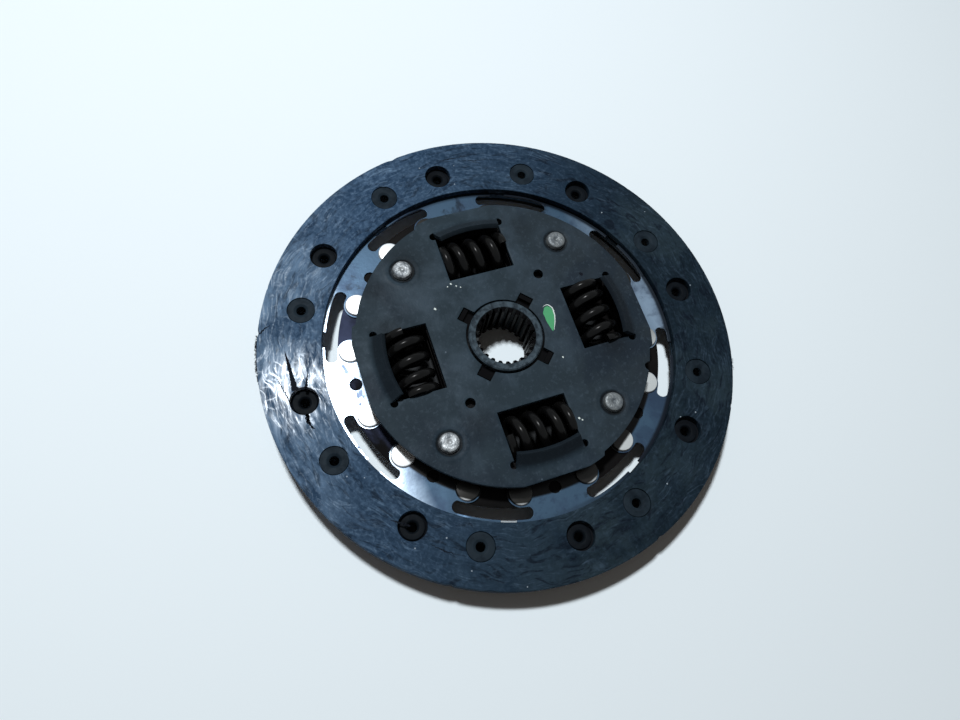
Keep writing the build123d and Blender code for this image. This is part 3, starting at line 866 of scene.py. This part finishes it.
def windowOutline(shape):
    # one window seen along the axis, at angle 0: the straight inner side, the sides, the relief
    # holes and the lip's free edge; the half above X, then its mirror image
    half = shape["halfWidth"]
    lip = math.radians(shape["lipHalfAngle"])
    middle = spotsAt(shape["root"], math.radians(shape["reliefAngle"]))
    size = shape["relief"]
    startAngle = math.atan2(half - middle[1], -math.sqrt(size**2 - (half - middle[1]) ** 2))
    direction = np.array([math.cos(lip), math.sin(lip)])
    along = middle @ direction
    reach = along + math.sqrt(along**2 - middle @ middle + size**2)
    stop = reach * direction - middle
    stopAngle = math.atan2(stop[1], stop[0])
    angles = np.linspace(startAngle % turn, stopAngle, 14)
    hole = middle + size * np.stack([np.cos(angles), np.sin(angles)], -1)
    tip = shape["fold"] - shape["rise"]
    radii = np.linspace(reach, tip, 8)[1:]
    side = radii[:, None] * direction
    edgeAngles = np.linspace(lip, 0, 25)[1:]
    edge = spotsAt(tip, edgeAngles)
    inwards = np.stack([np.linspace(shape["inner"], hole[0, 0], 14)[:-1], np.full(13, half)], -1)
    inner = np.stack([np.full(10, shape["inner"]), np.linspace(0, half, 11)[:-1]], -1)
    upper = np.concatenate([inner, inwards, hole, side, edge])
    lower = upper[1:-1][::-1] * [1, -1]
    return np.concatenate([upper, lower])


def turnedBy(points, angle):
    return points @ np.array([[math.cos(angle), math.sin(angle)], [-math.sin(angle), math.cos(angle)]])


def lipLift(x, y, shape):
    # nothing outside the fold, then a slope of 45 degrees: half of (u + root(u*u + bend*bend)) for
    # the distance u inside the fold, less what that gives far outside
    radius = np.hypot(x, y)
    angle = (np.arctan2(y, x) + np.pi / 4) % (np.pi / 2) - np.pi / 4
    u = shape["fold"] - radius
    bend = shape["bend"]
    rise = shape["rise"]
    leftOver = bend * bend / (4 * math.hypot(6, bend))
    lift = (u + np.sqrt(u * u + bend * bend)) / 2 - leftOver
    lift *= rise / ((rise + math.hypot(rise, bend)) / 2 - leftOver)
    within = (np.abs(angle) <= math.radians(shape["lipHalfAngle"]) + 1e-4) & (u > -6) & (radius > 48)
    away = np.degrees(np.abs(angle)) - shape["lipHalfAngle"]
    fade = np.clip(1 - away / 1.5, 0, 1)
    outside = (away > 1e-3) & (away < 1.5) & (u < 0) & (u > -6)
    return np.where(within, np.clip(lift, 0, rise), np.where(outside, np.clip(lift, 0, 1) * fade, 0))


def lipPoints(shape):
    # a finer lattice where the lips bend
    radii = np.arange(shape["fold"] - shape["rise"] + 0.6, shape["fold"] + 3.6, 0.6)
    angles = np.radians(np.arange(-16.4, 16.5, 0.8))
    grid = spotsAt(radii[:, None], angles[None]).reshape(-1, 2)
    return np.concatenate([turnedBy(grid, a) for a in windowAngles])


pinRing = {"pit": 5.3, "pitDepth": 0.35, "ring": 8.6, "ringHeight": 0.14}
retainingShape = {
    "radius": 62.3, "flat": 60.8, "cutback": 61.0, "cutbackHalf": 24.5, "notch": 1.9,
    "notchAngle": 61.4, "bore": 16.4, "slotOuter": 20.9, "slotHalf": 3.1, "toolingHole": 2.15,
    "toolingCircle": 32.75, "spacing": 2.0,
}


def retainingOutlines(shape):
    # outer edge: the least of the circle, the four flats, the rim cut back in two quarters and the notch
    angles = np.radians(np.arange(0, 360, 0.3))
    straight = shape["flat"] / np.maximum(np.abs(np.cos(angles)), np.abs(np.sin(angles)))
    radius = np.minimum(shape["radius"], straight)
    quarter = np.abs((np.degrees(angles) - 45 + 90) % 180 - 90)
    past = np.clip(quarter - shape["cutbackHalf"], 0, 1)
    radius = np.minimum(radius, shape["cutback"] + (shape["radius"] - shape["cutback"]) * past)
    spot = math.radians(shape["notchAngle"])
    across = shape["cutback"] * np.sin(angles - spot)
    hit = (np.abs(across) < shape["notch"]) & (np.cos(angles - spot) > 0)
    bite = shape["cutback"] * np.cos(angles - spot) - np.sqrt(np.maximum(shape["notch"] ** 2 - across**2, 0))
    radius = np.where(hit, bite, radius)
    outer = spotsAt(radius, angles)
    # inner edge: the bore, and the slots for the bush's tabs
    angles = np.radians(np.arange(0, 360, 0.75))
    off = (angles % (np.pi / 2)) - np.pi / 4
    slot = np.minimum(
        shape["slotOuter"] / np.cos(off), shape["slotHalf"] / np.maximum(np.abs(np.sin(off)), 1e-6)
    )
    radius = np.maximum(shape["bore"], slot)
    inner = spotsAt(radius, angles)
    ring = spotsAt(shape["toolingHole"], np.arange(24) / 24 * turn)
    holes = [ring + spotsAt(shape["toolingCircle"], np.radians(a)) for a in (135, 315)]
    return [outer, inner, *holes, *(turnedBy(windowOutline(windowShape), a) for a in windowAngles)]


def pinLift(x, y):
    # a shallow pit round each pin and a low ring round the pit
    lift = 0 * x
    for spot in spotsAt(pinCircle, pinAngles):
        away = np.hypot(x - spot[0], y - spot[1])
        pit = -pinRing["pitDepth"] * (1 - np.clip((away - pinRing["pit"] + 0.3) / 0.6, 0, 1))
        ring = pinRing["ringHeight"] * np.exp(
            -(((away - (pinRing["pit"] + pinRing["ring"]) / 2) / 0.75) ** 2)
        )
        lift = lift + np.where(away < 9, pit + ring, 0)
    return lift


def pinPoints():
    radii = np.arange(4.2, 9.2, 0.38)
    angles = np.arange(40) / 40 * turn
    rings = spotsAt(radii[:, None], angles[None]).reshape(-1, 2)
    return np.concatenate([rings + spot for spot in spotsAt(pinCircle, pinAngles)])


def platePiece(name, nodeName, loops, extraPoints, liftAt, outerFace, outward, finish, spacing):
    points, faces = trimmedSheet(loops, spacing, extraPoints, liftAt)
    points[:, 2] = outerFace + outward * points[:, 2]
    piece = newPiece(
        name, points, faces if outward > 0 else faces[:, ::-1], finish, "disc", [nodeName],
        60
    )
    thick = piece.modifiers.new("thickness", "SOLIDIFY")
    thick.thickness, thick.offset, thick.use_even_offset = plateThickness * mm, -1, False
    rounding(piece, 0.18, 60)
    return piece


# dark smudges on the plate, partly dirt and partly painted shade by the windows and pins: x, y, reach,
# strength
smudgesAndShade = [
    (-41.0, -31.0, 9, 0.55), (-15.5, -45.5, 6, 0.5), (14.0, 42.5, 7, 0.6), (31.0, -22.0, 6, 0.4),
    (-47.0, 22.0, 6, 0.35), (-33.2, -45.8, 5, 0.4),
]


def grimeAndShadeAt(x, y):
    # painted shade as a dark ring in the pit round each pin, and a soft bump exp(-(distance / reach)^2) per
    # smudge, partly dirt and partly painted shade
    grimeAndShade = 0 * x
    for spot in spotsAt(pinCircle, pinAngles):
        grimeAndShade += np.clip(1.15 - np.abs(np.hypot(x - spot[0], y - spot[1]) - 4.7) / 0.85, 0, 1)
    for left, up, reach, strength in smudgesAndShade:
        grimeAndShade += strength * np.exp(-((x - left) ** 2 + (y - up) ** 2) / reach**2)
    return np.clip(grimeAndShade, 0, 1)


def storeGrimeAndShade(piece):
    spots = np.empty(len(piece.data.vertices) * 3, np.float32)
    piece.data.vertices.foreach_get("co", spots)
    x, y = spots.reshape(-1, 3)[:, :2].T / mm
    piece.data.attributes.new("grimeAndShade", "FLOAT", "POINT").data.foreach_set(
        "value", grimeAndShadeAt(x, y).astype(np.float32)
    )


retaining = platePiece(
    "retainingPlate", "retaining_plate", retainingOutlines(retainingShape),
    np.concatenate([lipPoints(windowShape), pinPoints()]),
    lambda x, y: lipLift(x, y, windowShape) + pinLift(x, y), plateTop, 1, plateFinish,
    retainingShape["spacing"],
)
storeGrimeAndShade(retaining)
discShape = {"radius": 68.3, "bore": 16.4, "spacing": 2.2}
discLoops = [
    spotsAt(discShape["radius"], np.radians(np.arange(0, 360, 1.0))),
    spotsAt(discShape["bore"], np.radians(np.arange(0, 360, 3.0))),
    *(turnedBy(windowOutline(windowShape), a) for a in windowAngles),
]
platePiece(
    "discPlate", "disc_plate", discLoops, lipPoints(windowShape), lambda x, y: lipLift(x, y, windowShape),
    plateBottom, -1, metals["lowerPlateSteel"], discShape["spacing"],
)
print("plates made")


def dressCad(nodeName, pieceName, material, body, width):
    # a copy of the node's mesh is merged, its flat faces are joined up, and a small bevel rounds its edges
    mesh = nodes[nodeName].data.copy()
    if "custom_normal" in mesh.attributes:
        mesh.attributes.remove(mesh.attributes["custom_normal"])
    work = bmesh.new()
    work.from_mesh(mesh)
    bmesh.ops.remove_doubles(work, verts=work.verts, dist=1e-6)
    bmesh.ops.dissolve_limit(work, angle_limit=math.radians(0.5), verts=work.verts, edges=work.edges)
    work.to_mesh(mesh)
    work.free()
    piece = placed(pieceName, mesh, material, body, [nodeName], 30)
    edge = rounding(piece, width, 32)
    edge.harden_normals = True
    return piece


for number in range(1, 9):
    dressCad(
        f"cushion_segment_{number}", f"cushionSegment{number}", cushionFinish, "disc", 0.14
    )
dressCad("hub", "hubBody", hubFinish, "hub", 0.2)
dressCad("friction_bush", "frictionBush", metals["bushPlastic"], "disc", 0.7)
for nodeName, finish in (("friction_washer", metals["bushPlastic"]), ("spring_washer", hubFinish)):
    nodes[nodeName].data.materials.clear()
    nodes[nodeName].data.materials.append(finish)
print("CAD nodes dressed")


springShape = {
    "circle": 40.4, "height": 14.3, "coil": 6.9, "wire": 2.1, "length": 28.6, "turns": 4.1,
    "closedTurns": 0.6, "closedPitch": 4.32, "endHeight": 1.05, "stepsPerTurn": 48, "sides": 20,
    "squeezedLength": 21.55,
}


def springMesh(shape, angle):
    # wire centre: coil * cos and sin of the turn across the spring's axis, and the pitch's sum along
    # it; what stands past the ends is ground flat
    steps = round(shape["turns"] * shape["stepsPerTurn"]) + 1
    t = np.linspace(0, shape["turns"], steps)
    closed, total = shape["closedTurns"], shape["turns"]
    openTurns = total - 2 * closed
    openPitch = (shape["length"] - 2 * shape["endHeight"] - 2 * closed * shape["closedPitch"]) / openTurns
    along = shape["endHeight"] + (
        np.minimum(t, closed) + np.maximum(t - total + closed, 0)
    ) * shape["closedPitch"]
    along += np.clip(t - closed, 0, openTurns) * openPitch - shape["length"] / 2
    up = np.array([0, 0, 1.0])
    tangent = np.array([-math.sin(angle), math.cos(angle), 0])
    outwards = np.cross(tangent, up)
    middle = raised(spotsAt(shape["circle"], angle), shape["height"])
    cosine, sine = np.cos(turn * t)[:, None], np.sin(turn * t)[:, None]
    path = middle + shape["coil"] * (cosine * up + sine * outwards) + along[:, None] * tangent
    points, faces = swept(path, np.full(steps, shape["wire"]), shape["sides"], cosine * up + sine * outwards)
    beyond = (points - middle) @ tangent
    limit = shape["length"] / 2
    points = points + (np.clip(beyond, -limit, limit) - beyond)[..., None] * tangent
    return points.reshape(-1, 3), faces, middle, tangent


for number, angle in enumerate(windowAngles, start=1):
    points, faces, middle, tangent = springMesh(springShape, angle)
    node = f"damper_spring_{number}"
    finish = metals["springSteel"]
    spring = newPiece(f"damperSpring{number}", points, faces, finish, "springs", [node], 40)
    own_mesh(spring)
print("springs made")


markShape = {"crackLift": 0.025, "paintLift": 0.03}


def ribbon(spots, widths, height, raggedness, steps=40):
    # a flat strip along a line through the spots, as wide as the widths say, with ragged sides
    spots, widths = np.asarray(spots, float), np.asarray(widths, float)
    share = np.linspace(0, 1, len(spots))
    t = np.linspace(0, 1, steps)
    line = np.stack([np.interp(t, share, spots[:, 0]), np.interp(t, share, spots[:, 1])], -1)
    line += dice.normal(0, raggedness * 0.4, line.shape)
    forward = np.gradient(line, axis=0)
    forward /= np.linalg.norm(forward, axis=1, keepdims=True)
    side = np.stack([-forward[:, 1], forward[:, 0]], -1)
    half = np.interp(t, share, widths)[:, None] / 2
    left = line + side * half * (1 + dice.normal(0, raggedness, half.shape))
    right = line - side * half * (1 + dice.normal(0, raggedness, half.shape))
    points = np.stack([right, left], 1)
    points = raised(points, height)
    return points.reshape(-1, 3), gridQuads(steps, 2)


def polarSpots(pairs):
    return [tuple(spotsAt(radius, math.radians(degrees))) for radius, degrees in pairs]


surface = upperTop + markShape["crackLift"]
cracks = [  # (radius, degrees) of the spots, the widths there and the raggedness
    (
        [(88.9, 256.8), (88.0, 259.5), (87.2, 262.5), (86.8, 265.6), (86.6, 268.0)],
        [0.15, 1.1, 1.5, 2.0, 2.4], 0.12,
    ),
    ([(80.6, 263.0), (81.2, 265.0), (82.0, 267.0), (82.6, 268.6)], [0.1, 0.5, 0.9, 1.3], 0.3),
    ([(85.0, 275.2), (85.6, 277.0), (85.2, 278.6), (84.4, 279.6)], [1.8, 1.3, 0.8, 0.3], 0.3),
    ([(99.0, 252.2), (97.4, 250.9), (95.3, 249.8)], [0.7, 0.45, 0.15], 0.3),
    ([(93.0, 263.4), (91.4, 266.0), (90.2, 269.0), (89.6, 271.5)], [0.15, 0.4, 0.5, 0.2], 0.3),
    ([(84.6, 315.6), (85.6, 312.8), (86.4, 310.6)], [0.9, 0.5, 0.15], 0.3),
    ([(88.0, 322.4), (88.6, 326.0), (88.8, 330.0)], [0.15, 0.35, 0.1], 0.3),
    ([(92.6, 172.0), (92.0, 176.5), (92.4, 181.0)], [0.1, 0.45, 0.1], 0.3),
    ([(90.4, 166.0), (90.0, 170.0), (90.6, 174.0)], [0.1, 0.4, 0.1], 0.3),
]
points, faces = joined(
    [ribbon(polarSpots(spots), widths, surface, ragged) for spots, widths, ragged in cracks]
)
newPiece("facingCracks", points, faces[:, ::-1], soot, "disc")


fibreShape = {
    "root": 99.4, "limit": 99.7, "points": 7, "sides": 5, "rootRadius": 0.16, "tipRadius": 0.05,
    "heights": (11.8, 14.0),
}


def hairs(shape, centreDegrees, spreadDegrees, count, reach):
    # short fibres that stand out of the rim: each a thin tube along a bent line
    parts = []
    for _ in range(count):
        start = math.radians(centreDegrees + dice.uniform(-1, 1) * spreadDegrees)
        t = np.linspace(0, 1, shape["points"])
        angle = start + np.radians(dice.normal(0, 0.7)) * t
        angle = angle + np.radians(dice.normal(0, 0.25)) * np.sin(t * 5)
        radius = shape["root"] + (reach * dice.uniform(0.35, 1) + 0.6) * t
        height = dice.uniform(*shape["heights"]) + dice.normal(0, 0.5) * t
        path = np.stack([radius * np.cos(angle), radius * np.sin(angle), height], -1)
        path = path.clip(-shape["limit"], shape["limit"])
        side = np.cross(np.gradient(path, axis=0), (0, 0, 1))
        side /= np.linalg.norm(side, axis=1, keepdims=True)
        radii = np.linspace(shape["rootRadius"], shape["tipRadius"], shape["points"])
        points, faces = swept(path, radii, shape["sides"], side)
        parts.append((points.reshape(-1, 3), faces))
    return joined(parts)


tufts = [  # middle and half width in degrees, number of fibres, their length
    hairs(fibreShape, *tuft)
    for tuft in ((259.6, 1.8, 60, 1.0), (254.6, 2.0, 70, 1.0), (68.2, 1.0, 24, 0.9), (263.0, 0.7, 20, 0.7))
]
points, faces = joined(tufts)
newPiece("rimFibres", points, faces, soot, "disc")


def flatPatch(middle, outline, height):
    # a flat patch inside an outline: middle + part * (outline - middle)
    points = np.concatenate([middle + part * (outline - middle) for part in (0, 0.5, 1)])
    return raised(points, height), gridQuads(3, len(outline), closeColumns=True)


def dab(centre, lengths, degrees, height, wobble, seed):
    # a speck of paint: radius = 1 + a hum round it, stretched along two axes
    angles = np.arange(72) / 72 * turn
    across = spotsAt(1, angles) * lengths * (1 + wobble * hum(angles, 2, 8, 6, seed))[:, None]
    return flatPatch(np.asarray(centre), np.asarray(centre) + turnedBy(across, math.radians(degrees)), height)


paintTop = plateTop + markShape["paintLift"]
# the green dab is a drop that narrows towards +X, with a white edge along part of it
greenDrop = {
    "centre": (-2.3, 20.6), "halfLength": 5.6, "halfWidth": 1.9, "taper": 1.0, "leanX": 0.10,
    "leanY": -0.12, "wobble": 0.06,
}
share = np.arange(90) / 90 * turn
along = -np.cos(share) * greenDrop["halfLength"]
across = np.sin(share) * (greenDrop["halfWidth"] + greenDrop["taper"] * np.cos(share))
across *= 1 + greenDrop["wobble"] * hum(share, 3, 12, 8, 4)
outline = np.stack([along + greenDrop["leanX"] * across, across + greenDrop["leanY"] * along], -1)
outline += greenDrop["centre"]
middle = outline.mean(0)
points, faces = flatPatch(middle, outline, paintTop)
newPiece("greenDab", points, faces, greenPaint, "disc")
arc = outline[(np.arange(46) - 8) % 90]
arc = middle + (arc - middle) * 1.12
points, faces = ribbon(arc, np.sin(np.linspace(0.1, 3.04, 46)) * 0.42 + 0.05, paintTop, 0.15, 60)
newPiece("dabEdge", points, faces[:, ::-1], whitePaint, "disc")
dots = []
for spot, size in (
    ((-19.3, -24.3), 0.55), ((41.6, 16.6), 0.5), ((42.6, 17.6), 0.35), ((15.4, 19.7), 0.4),
    ((-28.5, -14.5), 0.45), ((-27.0, -12.6), 0.35), ((-27.6, -16.2), 0.3), ((-26.0, -11.0), 0.3),
):
    dots.append(dab(spot, (size, size * 0.8), 30, paintTop, 0.15, int(size * 100)))
points, faces = joined(dots)
newPiece("paintSpecks", points, faces, whitePaint, "disc")
points, faces = dab((-18.2, 41.3), (0.9, 0.7), 30, paintTop, 0.12, 3)
newPiece("platePit", points, faces, soot, "disc")
print("marks made")


stageLook = {
    "floor": rgb(230, 241, 247), "tableShade": rgb(46, 48, 50),
    "windowRing": (0.024, 0.028, 0.057, 0.053), "facingRing": (0.0780, 0.0785, 0.0990, 0.0985),
    "background": rgb(240, 247, 251), "ambient": rgb(250, 232, 218), "ambientStrength": 0.088,
    "reach": 3, "drop": 0.0001,
}

mesh = bpy.data.meshes.new("floor")
reach, drop = stageLook["reach"], stageLook["drop"]
corners = [(-reach, -reach), (reach, -reach), (reach, reach), (-reach, reach)]
mesh.from_pydata([(x, y, -drop) for x, y in corners], [], [(0, 1, 2, 3)])
floor = linked("floor", mesh)
floorFinish, shader, place = newFinish(
    "paleTable", {"colour": stageLook["floor"], "roughness": 0.6, "gloss": 0.05}
)
# painted shade: the table is painted dark in the rings that show through the damper windows and the facings'
# holes
away = measured("LENGTH", place)
window, facing = stageLook["windowRing"], stageLook["facingRing"]
tableShade = times(spread(away, *window[:2]), spread(away, *window[2:]))
tableShade = times(plus(tableShade, spread(away, *facing[:2])), spread(away, *facing[2:]))
feed(shader, "Base Color", blended(tableShade, stageLook["floor"], stageLook["tableShade"]))
mesh.materials.append(floorFinish)
floor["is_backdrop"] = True

world = bpy.data.worlds.new("studio")
bpy.context.scene.world = world
world.use_nodes = True
tree = world.node_tree
tree.nodes.clear()
rays = tree.nodes.new("ShaderNodeLightPath").outputs
seen = spread(plus(plus(rays["Is Camera Ray"], rays["Is Glossy Ray"]), rays["Is Transmission Ray"]), 0, 1)
ambient = put(
    tree, "ShaderNodeBackground", {"Color": stageLook["ambient"], "Strength": stageLook["ambientStrength"]}
)
background = put(tree, "ShaderNodeBackground", {"Color": stageLook["background"], "Strength": 1.0})
mixed = put(tree, "ShaderNodeMixShader", {}, {0: seen, 1: ambient.outputs[0], 2: background.outputs[0]})
output = tree.nodes.new("ShaderNodeOutputWorld")
tree.links.new(mixed.outputs[0], output.inputs[0])


keyLight = {
    "place": (-0.398, -0.115, 1.104), "aim": (0, 0, 0), "sizes": (0.125, 0.105), "power": 13.7,
    "colour": (0.965, 0.985, 1.0),
}
lamp = bpy.data.lights.new("keyLight", "AREA")
lamp.shape, lamp.energy, lamp.color = "RECTANGLE", keyLight["power"], keyLight["colour"]
lamp.size, lamp.size_y = keyLight["sizes"]
holder = linked("keyLight", lamp)
holder.location = keyLight["place"]
aim = Vector(keyLight["aim"]) - Vector(keyLight["place"])
holder.rotation_euler = aim.to_track_quat("-Z", "Y").to_euler()
holder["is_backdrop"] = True

cameraView = {
    "place": (94.946, -79.379, 291.530), "forward": (-0.30041, 0.22466, -0.92697),
    "up": (-0.89816, 0.26048, 0.35420), "lens": 27.224,
}
lens = bpy.data.cameras.new("camera")
lens.lens, lens.sensor_width, lens.clip_start = cameraView["lens"], 36, 0.01
camera = linked("camera", lens)
back, above = -Vector(cameraView["forward"]), Vector(cameraView["up"])
right = above.cross(back)
axes = Matrix((right, above, back)).transposed()
camera.location = Vector(cameraView["place"]) * mm
camera.rotation_euler = axes.to_euler()
bpy.context.scene.camera = camera
bpy.context.scene.view_settings.view_transform = "Standard"
print("stage, light and camera set")

low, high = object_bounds()
